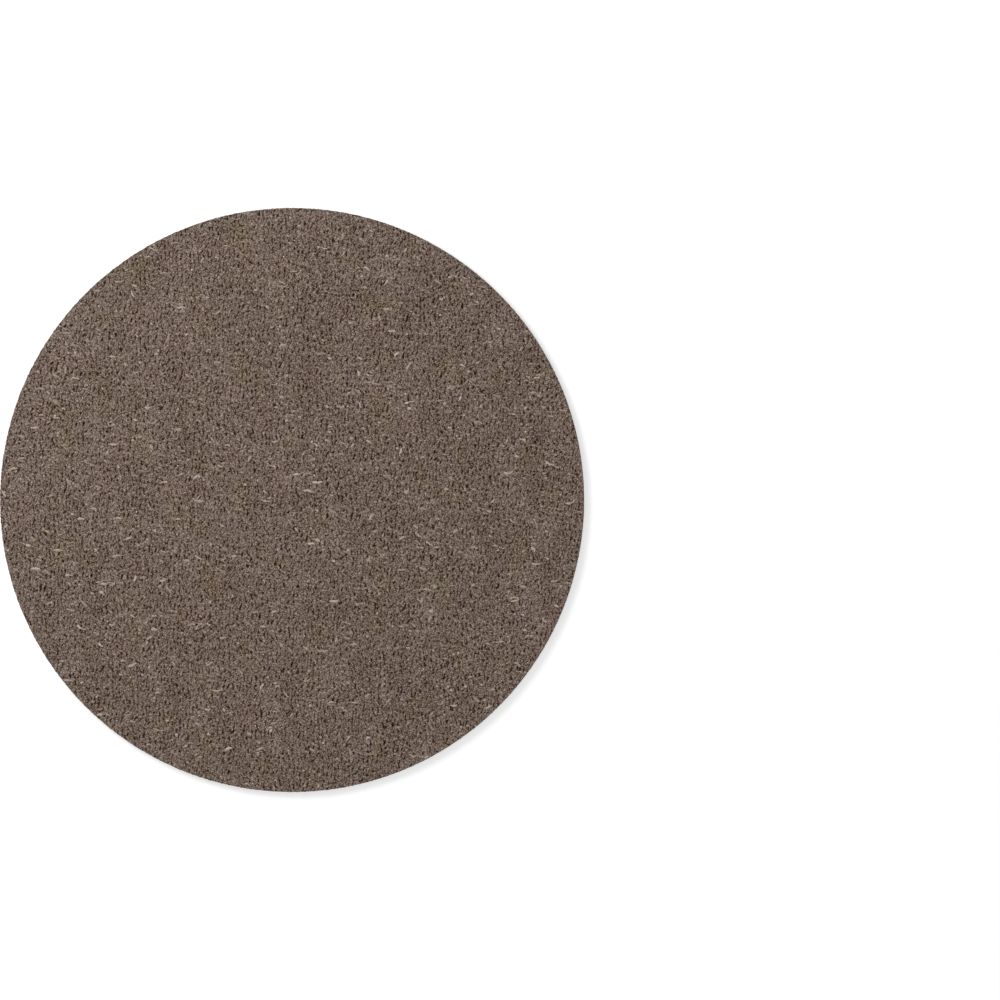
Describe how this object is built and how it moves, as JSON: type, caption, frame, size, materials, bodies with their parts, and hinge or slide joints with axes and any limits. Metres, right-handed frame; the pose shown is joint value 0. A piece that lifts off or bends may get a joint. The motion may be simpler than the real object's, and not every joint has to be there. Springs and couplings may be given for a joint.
{
  "type": "hook and loop sanding disc",
  "caption": "Flat round sanding disc: a rough brown abrasive face on a cloth sheet, with a white loop-pile back that grips a hook pad.",
  "frame": {"origin": "centre of the loop face, which is the face that the disc lies on", "axes": "+Z is the disc's axis, pointing from the loop face to the abrasive face; the disc is round, so X and Y are free"},
  "size_m": [0.125, 0.125, 0.0019],
  "materials": {
    "abrasive": "matte",
    "loop_pile": "matte"
  },
  "bodies": {
    "root": {"abrasive_sheet": "abrasive", "loop_cloth": "loop_pile"}
  },
  "joints": []
}
